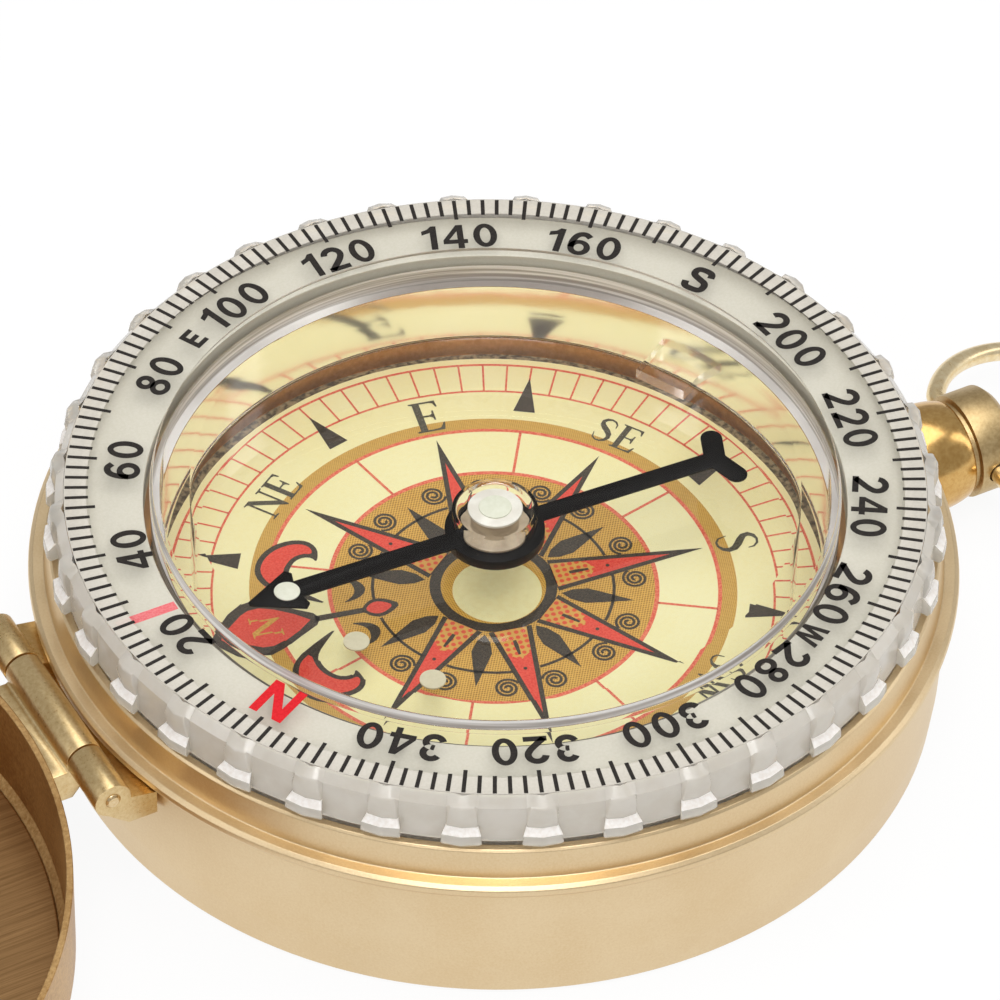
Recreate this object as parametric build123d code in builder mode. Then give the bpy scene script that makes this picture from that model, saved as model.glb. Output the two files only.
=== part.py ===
from build123d import *

import os
from math import acos, asin, cos, degrees, radians, sin, sqrt

# Pocket compass with a hinged lid, in millimetres. The origin is the centre of the case bottom, +Z is up,
# +X points to the pendant and -X to the hinge. The lid lies open beside the case, as a cup facing up.
# Radii grow outwards from the clear capsule, and heights grow upwards from the case floor.

# Clear capsule that holds the needle in its fluid
capsule_radius = 16.6
capsule_wall = 1.5
capsule_floor = 0.5
capsule_height = 9.7
pivot_boss_radius = 1.6
pivot_boss_height = 0.8
plug_width = 2.9
plug_height = 1.1
dot_radius = 0.65
dot_depth = 0.15
dot_inset = 6.1
dot_spread = 14.7

# Dial card on the case floor
case_floor = 0.7
card_thick = 0.15
card_edge_gap = 0.65
card_gap = 1.7

# Fixed luminous ring under the scale
index_drop = 0.85
index_flange = 3.3
index_thick = 0.5
index_wall = 0.6
collar_gap = 0.35

# Clear bezel with its window
plate_thick = 1.0
collar_wall = 0.45
collar_height = 3.35
skirt_gap = 0.25
skirt_wall = 0.55
grip_over = 0.25
bevel_width = 0.85
bevel_drop = 0.8
tooth_count = 36
tooth_angle = 4.0
tooth_proud = 0.4
tooth_bevel = 0.15
keeper_radius = 2.0
keeper_gap = 0.32
bezel_north = 207.6

# Snap ring between bezel and case
turn_clear = 0.08
ring_height = 0.5
ring_in_case = 0.22
ring_in_bezel = 0.2
ring_above_skirt = 0.45
ring_split = 6.0
end_clear = 0.1

# Case
lip_wall = 0.54
land_draft = 0.23
land_height = 1.55
lip_chamfer = 0.12
bead_over = 0.35
bead_proud = 0.45
bead_height = 0.75
wall_draft = 0.2
case_wall = 1.15
foot_inset = 0.2
foot_height = 2.2
foot_chamfer = 0.25
thrust_width = 0.15
thrust_height = 0.9
floor_chamfer = 1.0
grip_gap = 0.3
skirt_under_ledge = 0.15

# Lid
lid_clear = 0.15
lid_wall = 0.35
lid_headroom = 0.35
lid_crown = 1.0
lid_sheet = 0.75
lid_round = 1.5
lid_seat_gap = 0.05
liner_thick = 0.25
liner_inset = 0.6
liner_seat = 0.8
lid_rest_gap = 0.05

# Hinge
knuckle_radius = 0.95
hinge_gap = 0.15
hinge_under_ledge = 0.3
lid_knuckle = 6.9
case_knuckle = 3.05
knuckle_gap = 0.12
hinge_pin_radius = 0.4
hinge_pin_clear = 0.06
hinge_pin_proud = 0.12
leaf_thick = 0.75
lid_leaf_height = 1.8
case_leaf_height = 0.7
leaf_clear = 0.2

# Pendant and bow
pendant_height = 3.55
collar_length = 3.7
bulb_radius = 2.85
bulb_foot_radius = 2.2
bulb_end_radius = 2.6
groove_width = 0.3
groove_radius = 2.4
neck_length = 2.2
neck_radius = 2.75
neck_round = 0.35
bow_hole_inset = 0.95
stud_radius = 0.9
stud_inside = 0.5
wire_radius = 0.5
bow_radius = 6.6
bow_side_gap = 0.4
bow_bend = 0.9
bow_clear = 0.07
bow_pin_inside = 1.15
bow_rest_gap = 0.02

# Needle and hub
needle_lift = 3.62
needle_thick = 0.2
needle_azimuth = 176.7
needle_ring_radius = 2.5
needle_ring_drop = 0.8
arm_width = 1.15
tail_width = 1.05
needle_tip_gap = 1.8
head_length = 2.5
head_half_width = 1.42
tip_half_width = 0.12
lobe_gap = 2.4
lobe_aside = 1.42
lobe_length = 0.5
lobe_radius = 0.55
needle_dot_radius = 0.65
needle_dot_thick = 0.12
needle_dot_inset = 0.46
post_radius = 1.25
post_foot_radius = 1.7
post_foot_thick = 0.3
post_flange_gap = 0.07
post_flange_thick = 0.25
post_head_radius = 1.38
post_head_thick = 0.3
post_height = 2.43
hub_dot_radius = 0.82
hub_dot_thick = 0.12
cap_radius = 2.15
cap_wall = 0.2
cap_round = 0.6
cap_headroom = 0.18
jewel_radius = 0.9
jewel_height = 0.85
jewel_lift = 1.03
jewel_cup_radius = 0.55
jewel_cup_depth = 0.55
pin_radius = 0.35
pin_cone = 0.85
pin_tip_radius = 0.03
pin_tip_gap = 0.09
pin_seat = 0.3

# Radii, from the capsule outwards
collar_radius = capsule_radius + collar_wall
index_bore = collar_radius + collar_gap
index_radius = index_bore + index_flange
skirt_bore = index_radius + skirt_gap
skirt_radius = skirt_bore + skirt_wall
case_bore = skirt_radius + turn_clear
grip_radius = skirt_radius + grip_over
tooth_radius = grip_radius + tooth_proud
bezel_top_radius = grip_radius - bevel_width
ring_outer = case_bore + ring_in_case
ring_inner = skirt_radius - ring_in_bezel
land_top_radius = case_bore + lip_wall
land_radius = land_top_radius + land_draft
lid_bore = land_radius + lid_clear
lid_radius = lid_bore + lid_wall
bead_radius = lid_radius + bead_over
wall_radius = bead_radius - bead_proud
wall_low_radius = wall_radius - wall_draft
foot_radius = wall_low_radius - foot_inset
case_inner = wall_low_radius - case_wall
thrust_bore = skirt_bore - thrust_width
card_radius = index_bore - card_edge_gap
capsule_bore = capsule_radius - capsule_wall
liner_radius = lid_bore - liner_inset
dot_circle = capsule_bore - dot_inset
head_tip = capsule_bore - needle_tip_gap
head_base = head_tip - head_length
needle_dot_along = head_base + needle_dot_inset
lobe_along = capsule_bore - lobe_gap
lobe_root = lobe_along - lobe_length
cap_bore = cap_radius - cap_wall
post_flange_radius = cap_bore - post_flange_gap

# Heights, from the table upwards
card_top = case_floor + card_thick
capsule_low = card_top + card_gap
capsule_deck = capsule_low + capsule_floor
plate_low = capsule_low + capsule_height
plate_top = plate_low + plate_thick
index_top = plate_low - index_drop
liner_low = plate_top + lid_headroom
lid_inner = liner_low + liner_thick
lid_edge = lid_inner + lid_sheet
lid_top = lid_edge + lid_crown
hinge_height = lid_top / 2 + lid_rest_gap
ledge = hinge_height + hinge_under_ledge
lid_rim = ledge + lid_seat_gap
lip_top = ledge + land_height
grip_low = lip_top + grip_gap
skirt_low = ledge - skirt_under_ledge
thrust = skirt_low - end_clear
ring_low = skirt_low + ring_above_skirt
ring_high = ring_low + ring_height
needle_low = capsule_deck + needle_lift
needle_top = needle_low + needle_thick
ring_foot = needle_low - needle_ring_drop
post_top = needle_top + post_height
hub_dot_top = post_top + hub_dot_thick
cap_inner = hub_dot_top + cap_headroom
cap_top = cap_inner + cap_wall
jewel_low = needle_top + jewel_lift
pin_tip = jewel_low + jewel_cup_depth - pin_tip_gap

# Hinge axis, pendant axis and bow droop
hinge_x = -(bead_radius + hinge_gap + knuckle_radius)
hinge_axis = Axis((hinge_x, 0, hinge_height), (0, 1, 0))
collar_end = bead_radius + collar_length
neck_start = collar_end + groove_width
neck_end = neck_start + neck_length
bow_x = neck_start + bow_hole_inset
pendant_axis = Axis((0, 0, pendant_height), (1, 0, 0))
bow_end = neck_radius + bow_side_gap + wire_radius
bow_reach = sqrt(bow_radius**2 - bow_end**2)
bow_droop = asin((pendant_height - wire_radius - bow_rest_gap) / (bow_reach + bow_radius))

# Planes that pieces are drawn on
north_turn = Plane.XY.rotated((0, 0, bezel_north))
pendant_plane = Plane(origin=(0, 0, pendant_height), x_dir=(1, 0, 0), z_dir=(0, -1, 0))


def polar(radius, angle):
    return (radius * cos(radians(angle)), radius * sin(radians(angle)))


def dome_arc(radius, edge_height, rise):
    ball = (radius**2 + rise**2) / (2 * rise)
    half_angle = degrees(asin(radius / ball))
    return CenterArc((0, edge_height + rise - ball), ball, 90 - half_angle, half_angle)


# Outer form of the case, without its hollow
with BuildPart() as case_form:
    with BuildSketch(Plane.XZ):
        with BuildLine():
            Polyline(
                (0, 0),
                (foot_radius - foot_chamfer, 0),
                (foot_radius, foot_chamfer),
                (wall_low_radius, foot_height),
                (wall_radius, ledge - bead_height),
            )
            ThreePointArc(
                (wall_radius, ledge - bead_height),
                (bead_radius, ledge - bead_height / 2),
                (wall_radius, ledge),
            )
            Polyline(
                (wall_radius, ledge),
                (land_radius, ledge),
                (land_top_radius, lip_top - lip_chamfer),
                (land_top_radius - lip_chamfer, lip_top),
                (0, lip_top),
                (0, 0),
            )
        make_face()
    revolve(axis=Axis.Z)

# Case: hollow with a bore for the bezel skirt, a ring groove, a thrust ledge and the hole for the pendant stud
with BuildPart() as base_case:
    add(case_form.part)
    with BuildSketch(Plane.XZ):
        with BuildLine():
            Polyline(
                (0, case_floor),
                (case_inner - floor_chamfer, case_floor),
                (case_inner, case_floor + floor_chamfer),
                (case_inner, thrust - thrust_height - (case_inner - thrust_bore)),
                (thrust_bore, thrust - thrust_height),
                (thrust_bore, thrust),
                (case_bore, thrust),
                (case_bore, ring_low),
                (ring_outer, ring_low),
                (ring_outer, ring_high),
                (case_bore, ring_high),
                (case_bore, lip_top - lip_chamfer),
                (case_bore + lip_chamfer, lip_top),
                (0, lip_top),
                (0, case_floor),
            )
        make_face()
    revolve(axis=Axis.Z, mode=Mode.SUBTRACT)
    with BuildSketch(Plane.YZ.offset(case_inner - floor_chamfer)):
        with Locations((0, pendant_height)):
            Circle(stud_radius)
    extrude(amount=bead_radius, mode=Mode.SUBTRACT)
base_case.part.label = "base_case"

# Dial card
with BuildPart() as dial_card:
    with BuildSketch(Plane.XY.offset(case_floor)):
        Circle(card_radius)
    extrude(amount=card_thick)
dial_card.part.label = "dial_card"

# Index ring: a tube on the case floor with a flange under the scale
with BuildPart() as index_ring:
    with BuildSketch(Plane.XZ):
        with BuildLine():
            Polyline(
                (index_bore, case_floor),
                (index_bore + index_wall, case_floor),
                (index_bore + index_wall, index_top - index_thick),
                (index_radius, index_top - index_thick),
                (index_radius, index_top),
                (index_bore, index_top),
                (index_bore, case_floor),
            )
        make_face()
    revolve(axis=Axis.Z)
index_ring.part.label = "index_ring"

# Snap ring, split towards the pendant
with BuildPart() as bezel_snap_ring:
    with BuildSketch(Plane.XZ.rotated((0, 0, ring_split / 2))):
        with Locations(((ring_inner + ring_outer) / 2, (ring_low + ring_high) / 2)):
            Rectangle(ring_outer - ring_inner, ring_height)
    revolve(axis=Axis.Z, revolution_arc=360 - ring_split)
bezel_snap_ring.part.label = "bezel_snap_ring"

# One grip tooth of the bezel, turned through its own width
with BuildPart() as tooth:
    with BuildSketch(Plane.XZ.rotated((0, 0, -tooth_angle / 2))):
        with BuildLine():
            Polyline(
                (skirt_radius, plate_top - bevel_drop),
                (grip_radius, plate_top - bevel_drop),
                (tooth_radius, plate_top - bevel_drop - tooth_bevel),
                (tooth_radius, grip_low + tooth_bevel / 2),
                (grip_radius, grip_low),
                (skirt_radius, grip_low),
                (skirt_radius, plate_top - bevel_drop),
            )
        make_face()
    revolve(axis=Axis.Z, revolution_arc=tooth_angle)

# Clear bezel: window plate, bevel, grip, skirt with ring groove, collar round the capsule and keeper boss
with BuildPart() as bezel_crystal:
    with BuildSketch(Plane.XZ):
        with BuildLine():
            Polyline(
                (0, plate_top),
                (bezel_top_radius, plate_top),
                (grip_radius, plate_top - bevel_drop),
                (grip_radius, grip_low),
                (skirt_radius, grip_low),
                (skirt_radius, ring_high + end_clear),
                (ring_inner - turn_clear, ring_high + end_clear),
                (ring_inner - turn_clear, ring_low - end_clear),
                (skirt_radius, ring_low - end_clear),
                (skirt_radius, skirt_low),
                (skirt_bore, skirt_low),
                (skirt_bore, plate_low),
                (collar_radius, plate_low),
                (collar_radius, plate_low - collar_height),
                (capsule_radius, plate_low - collar_height),
                (capsule_radius, plate_low),
                (keeper_radius, plate_low),
                (keeper_radius, cap_top + keeper_gap),
                (0, cap_top + keeper_gap),
                (0, plate_top),
            )
        make_face()
    revolve(axis=Axis.Z)
    with PolarLocations(0, tooth_count, start_angle=bezel_north):
        add(tooth.part)
bezel_crystal.part.label = "bezel_crystal"

# Capsule cup with its pivot boss, the window for the fill plug and the recesses for the two dots
with BuildPart() as capsule_cup:
    with BuildSketch(Plane.XZ):
        with BuildLine():
            Polyline(
                (0, capsule_low),
                (capsule_radius, capsule_low),
                (capsule_radius, plate_low),
                (capsule_bore, plate_low),
                (capsule_bore, capsule_deck),
                (pivot_boss_radius, capsule_deck),
                (2 * pin_radius, capsule_deck + pivot_boss_height),
                (0, capsule_deck + pivot_boss_height),
                (0, capsule_low),
            )
        make_face()
    revolve(axis=Axis.Z)
    with BuildSketch(Plane.XY.offset(capsule_low + capsule_floor - pin_seat)):
        Circle(pin_radius)
    extrude(amount=pin_seat + pivot_boss_height, mode=Mode.SUBTRACT)
    with BuildSketch(north_turn.offset(capsule_deck)):
        with Locations((-capsule_radius, 0)):
            Rectangle(2 * capsule_wall, plug_width)
    extrude(amount=plug_height, mode=Mode.SUBTRACT)
    with BuildSketch(north_turn.offset(capsule_deck)):
        with Locations(polar(dot_circle, dot_spread), polar(dot_circle, -dot_spread)):
            Circle(dot_radius)
    extrude(amount=-dot_depth, mode=Mode.SUBTRACT)
capsule_cup.part.label = "capsule_cup"

# Fill plug, flush with both faces of the capsule wall
with BuildPart() as fill_plug:
    with BuildSketch(Plane.XY.offset(capsule_deck)):
        Circle(capsule_radius)
        Circle(capsule_bore, mode=Mode.SUBTRACT)
    extrude(amount=plug_height)
    with BuildSketch(north_turn.offset(capsule_deck)):
        with Locations((-capsule_radius, 0)):
            Rectangle(2 * capsule_wall, plug_width)
    extrude(amount=plug_height, mode=Mode.INTERSECT)
fill_plug.part.label = "fill_plug"

# Two luminous dots in the capsule floor, either side of the bezel's north
with BuildPart() as orienting_dots:
    with BuildSketch(north_turn.offset(capsule_deck)):
        with Locations(polar(dot_circle, dot_spread), polar(dot_circle, -dot_spread)):
            Circle(dot_radius)
    extrude(amount=-dot_depth)
orienting_dots.part.label = "orienting_dots"

# Pivot pin with its pointed end
with BuildPart() as pivot_pin:
    with BuildSketch(Plane.XZ):
        with BuildLine():
            Polyline(
                (0, capsule_deck - pin_seat),
                (pin_radius, capsule_deck - pin_seat),
                (pin_radius, pin_tip - pin_cone),
                (pin_tip_radius, pin_tip),
                (0, pin_tip),
                (0, capsule_deck - pin_seat),
            )
        make_face()
    revolve(axis=Axis.Z)
pivot_pin.part.label = "pivot_pin"

# Needle: centre ring, arrow head along its own +X and forked tail behind
needle_plane = Plane.XY.rotated((0, 0, needle_azimuth)).offset(needle_low)
with BuildPart() as needle:
    with BuildSketch(needle_plane):
        Circle(needle_ring_radius)
        with Locations((head_base / 2, 0)):
            Rectangle(head_base, arm_width)
        Polygon(
            (head_base, head_half_width),
            (head_base - arm_width / 4, head_half_width - arm_width / 4),
            (head_base, 0),
            (head_base - arm_width / 4, arm_width / 4 - head_half_width),
            (head_base, -head_half_width),
            (head_tip, -tip_half_width),
            (head_tip, tip_half_width),
            align=None,
        )
        with Locations((-lobe_root / 2, 0)):
            Rectangle(lobe_root, tail_width)
        for side in (1, -1):
            SlotCenterPoint(
                (-(lobe_root + lobe_along) / 2, side * lobe_aside / 2),
                (-lobe_along, side * lobe_aside),
                2 * lobe_radius,
            )
        Circle(post_radius, mode=Mode.SUBTRACT)
    extrude(amount=needle_thick)
    with BuildSketch(Plane.XY.offset(ring_foot)):
        Circle(needle_ring_radius)
        Circle(post_radius, mode=Mode.SUBTRACT)
    extrude(amount=needle_ring_drop)
needle.part.label = "needle"

# Luminous dot on the arrow head
with BuildPart() as needle_lume:
    with BuildSketch(needle_plane.offset(needle_thick)):
        with Locations((needle_dot_along, 0)):
            Circle(needle_dot_radius)
    extrude(amount=needle_dot_thick)
needle_lume.part.label = "needle_lume"

# Bearing post through the needle, with a flange on each side of it, bored from below for the pin and the jewel
with BuildPart() as bearing_post:
    with BuildSketch(Plane.XZ):
        with BuildLine():
            Polyline(
                (jewel_radius, ring_foot - post_foot_thick),
                (post_foot_radius, ring_foot - post_foot_thick),
                (post_foot_radius, ring_foot),
                (post_radius, ring_foot),
                (post_radius, needle_top),
                (post_flange_radius, needle_top),
                (post_flange_radius, needle_top + post_flange_thick),
                (post_radius, needle_top + post_flange_thick),
                (post_radius, post_top - post_head_thick),
                (post_head_radius, post_top - post_head_thick),
                (post_head_radius, post_top),
                (0, post_top),
                (0, jewel_low + jewel_height),
                (jewel_radius, jewel_low + jewel_height),
                (jewel_radius, ring_foot - post_foot_thick),
            )
        make_face()
    revolve(axis=Axis.Z)
bearing_post.part.label = "bearing_post"

# Cupped jewel
with BuildPart() as jewel_bearing:
    with BuildSketch(Plane.XZ):
        with BuildLine():
            Polyline(
                (jewel_cup_radius, jewel_low),
                (jewel_radius, jewel_low),
                (jewel_radius, jewel_low + jewel_height),
                (0, jewel_low + jewel_height),
                (0, jewel_low + jewel_cup_depth),
                (jewel_cup_radius, jewel_low),
            )
        make_face()
    revolve(axis=Axis.Z)
jewel_bearing.part.label = "jewel_bearing"

# Luminous dot on top of the post
with BuildPart() as hub_lume:
    with BuildSketch(Plane.XY.offset(post_top)):
        Circle(hub_dot_radius)
    extrude(amount=hub_dot_thick)
hub_lume.part.label = "hub_lume"

# Clear hollow cap that stands on the needle round the post
with BuildPart() as needle_cap:
    with BuildSketch(Plane.XZ):
        with BuildLine():
            Polyline(
                (cap_bore, needle_top),
                (cap_radius, needle_top),
                (cap_radius, cap_top - cap_round),
                (cap_radius - cap_round, cap_top),
                (0, cap_top),
                (0, cap_inner),
                (cap_radius - cap_round, cap_inner),
                (cap_bore, cap_top - cap_round),
                (cap_bore, needle_top),
            )
        make_face()
    revolve(axis=Axis.Z)
needle_cap.part.label = "needle_cap"

# Outer form of the closed lid, without its hollow
lid_dome_radius = lid_radius - lid_round
with BuildPart() as lid_form:
    with BuildSketch(Plane.XZ):
        with BuildLine():
            Polyline((0, lid_top), (0, lid_rim), (lid_radius, lid_rim), (lid_radius, lid_edge - lid_round))
            ThreePointArc(
                (lid_radius, lid_edge - lid_round),
                (lid_dome_radius + lid_round * sqrt(0.5), lid_edge - lid_round * (1 - sqrt(0.5))),
                (lid_dome_radius, lid_edge),
            )
            dome_arc(lid_dome_radius, lid_edge, lid_crown)
        make_face()
    revolve(axis=Axis.Z)

# Closed lid: hollow over the bezel, with a flat seat for the liner under the crown
seat_radius = liner_radius - liner_seat
with BuildPart() as closed_lid:
    add(lid_form.part)
    with BuildSketch(Plane.XZ):
        with BuildLine():
            Polyline(
                (0, lid_rim),
                (lid_bore, lid_rim),
                (lid_bore, lid_inner - (lid_bore - liner_radius)),
                (liner_radius, lid_inner),
                (seat_radius, lid_inner),
            )
            dome_arc(seat_radius, lid_inner, lid_crown)
            Line((0, lid_inner + lid_crown), (0, lid_rim))
        make_face()
    revolve(axis=Axis.Z, mode=Mode.SUBTRACT)

# Lid as it lies open
with BuildPart() as lid_shell:
    add(closed_lid.part.rotate(hinge_axis, -180))
lid_shell.part.label = "lid_shell"

# Closed liner disc, then open with its lid
with BuildPart() as closed_liner:
    with BuildSketch(Plane.XY.offset(liner_low)):
        Circle(liner_radius)
    extrude(amount=liner_thick)
with BuildPart() as lid_liner:
    add(closed_liner.part.rotate(hinge_axis, -180))
lid_liner.part.label = "lid_liner"

# Middle knuckle on its leaf, drawn closed and cut to the lid's wall
hinge_bore = hinge_pin_radius + hinge_pin_clear
leaf_low = lid_rim + leaf_clear
with BuildPart() as closed_leaf:
    with BuildSketch(Plane.XZ):
        with Locations((hinge_x, hinge_height)):
            Circle(knuckle_radius)
        Polygon(
            (hinge_x, hinge_height),
            (hinge_x + knuckle_radius, leaf_low),
            (-lid_bore, leaf_low),
            (-lid_bore, leaf_low + lid_leaf_height),
            (-lid_radius - leaf_thick, leaf_low + lid_leaf_height),
            (hinge_x - knuckle_radius / 2, hinge_height + knuckle_radius * sqrt(0.75)),
            align=None,
        )
        with Locations((hinge_x, hinge_height)):
            Circle(hinge_bore, mode=Mode.SUBTRACT)
    extrude(amount=lid_knuckle / 2, both=True)
    add(lid_form.part, mode=Mode.SUBTRACT)
with BuildPart() as lid_hinge_leaf:
    add(closed_leaf.part.rotate(hinge_axis, -180))
lid_hinge_leaf.part.label = "lid_hinge_leaf"

# Outer knuckles on the case leaf, cut to the case wall, with a waist that clears the middle knuckle
knuckle_in = lid_knuckle / 2 + knuckle_gap
knuckle_out = knuckle_in + case_knuckle
waist_top = hinge_height - knuckle_radius - leaf_clear
with BuildPart() as case_hinge_leaf:
    with BuildSketch(Plane.XZ):
        Polygon(
            (-case_inner - case_wall / 2, waist_top),
            (-case_inner - case_wall / 2, waist_top - case_leaf_height),
            (-wall_radius - leaf_thick, waist_top - case_leaf_height),
            (-wall_radius - leaf_thick, waist_top),
            align=None,
        )
    extrude(amount=knuckle_out, both=True)
    for side in (1, -1):
        with BuildSketch(Plane.XZ.offset(side * knuckle_in)):
            with Locations((hinge_x, hinge_height)):
                Circle(knuckle_radius)
            Polygon(
                (hinge_x, hinge_height),
                (-case_inner - case_wall / 2, hinge_height - knuckle_radius / 2),
                (-case_inner - case_wall / 2, waist_top - case_leaf_height),
                (-wall_radius - leaf_thick, waist_top - case_leaf_height),
                (hinge_x - knuckle_radius * sqrt(0.75), hinge_height - knuckle_radius / 2),
                align=None,
            )
        extrude(amount=side * case_knuckle)
    with BuildSketch(Plane.XZ):
        with Locations((hinge_x, hinge_height)):
            Circle(hinge_pin_radius)
    extrude(amount=knuckle_out, both=True, mode=Mode.SUBTRACT)
    add(case_form.part, mode=Mode.SUBTRACT)
case_hinge_leaf.part.label = "case_hinge_leaf"

# Hinge pin, a little proud of both outer knuckles
with BuildPart() as hinge_pin:
    with BuildSketch(Plane.XZ):
        with Locations((hinge_x, hinge_height)):
            Circle(hinge_pin_radius)
    extrude(amount=knuckle_out + hinge_pin_proud, both=True)
    chamfer(hinge_pin.edges().filter_by(GeomType.CIRCLE), hinge_pin_proud)
hinge_pin.part.label = "hinge_pin"

# Pendant collar, cut to the case wall and bored for the stud
with BuildPart() as pendant_collar:
    with BuildSketch(pendant_plane):
        with BuildLine():
            Polyline(
                (collar_end, bulb_end_radius),
                (collar_end, stud_radius),
                (case_inner + case_wall / 2, stud_radius),
                (case_inner + case_wall / 2, bulb_foot_radius),
                (wall_radius, bulb_foot_radius),
            )
            ThreePointArc(
                (wall_radius, bulb_foot_radius),
                ((wall_radius + collar_end) / 2, bulb_radius),
                (collar_end, bulb_end_radius),
            )
        make_face()
    revolve(axis=pendant_axis)
    add(case_form.part, mode=Mode.SUBTRACT)
pendant_collar.part.label = "pendant_collar"

# Pendant neck with its groove, stud and cross hole
with BuildPart() as pendant_neck:
    with BuildSketch(pendant_plane):
        with BuildLine():
            Polyline(
                (case_inner - stud_inside, 0),
                (case_inner - stud_inside, stud_radius),
                (collar_end, stud_radius),
                (collar_end, groove_radius),
                (neck_start, groove_radius),
                (neck_start, neck_radius),
                (neck_end - neck_round, neck_radius),
                (neck_end, neck_radius - neck_round),
                (neck_end, 0),
                (case_inner - stud_inside, 0),
            )
        make_face()
    revolve(axis=pendant_axis)
    with BuildSketch(Plane.XZ):
        with Locations((bow_x, pendant_height)):
            Circle(wire_radius + bow_clear)
    extrude(amount=neck_radius + wire_radius, both=True, mode=Mode.SUBTRACT)
pendant_neck.part.label = "pendant_neck"

# Bow: one bent wire, a ring that droops to the table with both ends turned into the neck
bow_turn = degrees(acos(-bow_reach / bow_radius))
bow_plane = Plane(
    origin=(bow_x, 0, pendant_height),
    x_dir=(cos(bow_droop), 0, -sin(bow_droop)),
    z_dir=(sin(bow_droop), 0, cos(bow_droop)),
)
with BuildPart() as bow:
    with BuildLine(bow_plane) as bow_path:
        Line((0, -bow_pin_inside), (0, -bow_end))
        CenterArc((bow_reach, 0), bow_radius, -bow_turn, 2 * bow_turn)
        Line((0, bow_end), (0, bow_pin_inside))
        fillet(bow_path.vertices().group_by(Axis.X)[0].sort_by(Axis.Y)[0::3], bow_bend)
    with BuildSketch(Plane(origin=bow_path.line @ 0, z_dir=bow_path.line % 0)):
        Circle(wire_radius)
    sweep(path=bow_path.line)
bow.part.label = "bow"

# One file for each piece
os.makedirs("parts", exist_ok=True)
for piece in (
    base_case,
    dial_card,
    index_ring,
    bezel_snap_ring,
    case_hinge_leaf,
    hinge_pin,
    pendant_collar,
    pendant_neck,
    bezel_crystal,
    capsule_cup,
    fill_plug,
    orienting_dots,
    pivot_pin,
    needle,
    needle_lume,
    bearing_post,
    jewel_bearing,
    hub_lume,
    needle_cap,
    lid_shell,
    lid_liner,
    lid_hinge_leaf,
    bow,
):
    export_step(piece.part, f"parts/{piece.part.label}.step")
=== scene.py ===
from math import atan2, cos, hypot, pi, radians, sin, tan

import bpy
from mathutils import Matrix, Vector


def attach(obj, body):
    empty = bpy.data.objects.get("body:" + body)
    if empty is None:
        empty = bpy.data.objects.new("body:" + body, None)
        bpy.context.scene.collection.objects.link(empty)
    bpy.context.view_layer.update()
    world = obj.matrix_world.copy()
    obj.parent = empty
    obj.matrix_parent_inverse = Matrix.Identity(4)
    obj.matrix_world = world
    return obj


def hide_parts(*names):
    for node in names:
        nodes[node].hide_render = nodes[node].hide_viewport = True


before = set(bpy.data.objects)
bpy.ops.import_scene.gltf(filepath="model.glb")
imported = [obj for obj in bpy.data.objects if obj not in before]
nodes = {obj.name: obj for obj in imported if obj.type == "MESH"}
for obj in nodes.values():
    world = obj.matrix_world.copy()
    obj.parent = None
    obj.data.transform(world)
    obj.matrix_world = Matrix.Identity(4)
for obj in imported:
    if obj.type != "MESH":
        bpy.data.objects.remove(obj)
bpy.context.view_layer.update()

# Table, light and camera
# A white table under soft studio light: a wide softbox overhead, one behind the photographer and a strip on each side.
# The camera stands where the photograph was taken from, with a long lens.
MM = 0.001
scene = bpy.context.scene
scene.view_settings.view_transform = "Standard"
scene.cycles.max_bounces = 24
scene.cycles.transmission_bounces = 20
scene.cycles.glossy_bounces = 12
scene.cycles.transparent_max_bounces = 24

camera_azimuth = radians(-29.2)
camera_elevation = radians(43.446)
camera_roll = radians(1.346)
camera_distance = 335.96 * MM
camera_target = Vector((0, 0, 12.7 * MM))
back = Vector((
    sin(camera_azimuth) * cos(camera_elevation),
    -cos(camera_azimuth) * cos(camera_elevation),
    sin(camera_elevation),
))
level = Vector((cos(camera_azimuth), sin(camera_azimuth), 0))
upright = back.cross(level)
right = level * cos(camera_roll) + upright * sin(camera_roll)
up = upright * cos(camera_roll) - level * sin(camera_roll)
eye = camera_target + back * camera_distance
bpy.ops.object.camera_add(location=eye)
camera = bpy.context.object
camera.name = "camera"
camera.matrix_world = Matrix((
    (right.x, up.x, back.x, eye.x),
    (right.y, up.y, back.y, eye.y),
    (right.z, up.z, back.z, eye.z),
    (0, 0, 0, 1),
))
camera.data.sensor_width = 36
camera.data.lens = 245.08
camera.data.shift_x = 0.00422
camera.data.shift_y = -0.01635
camera.data.clip_start = 0.01
scene.camera = camera


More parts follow.
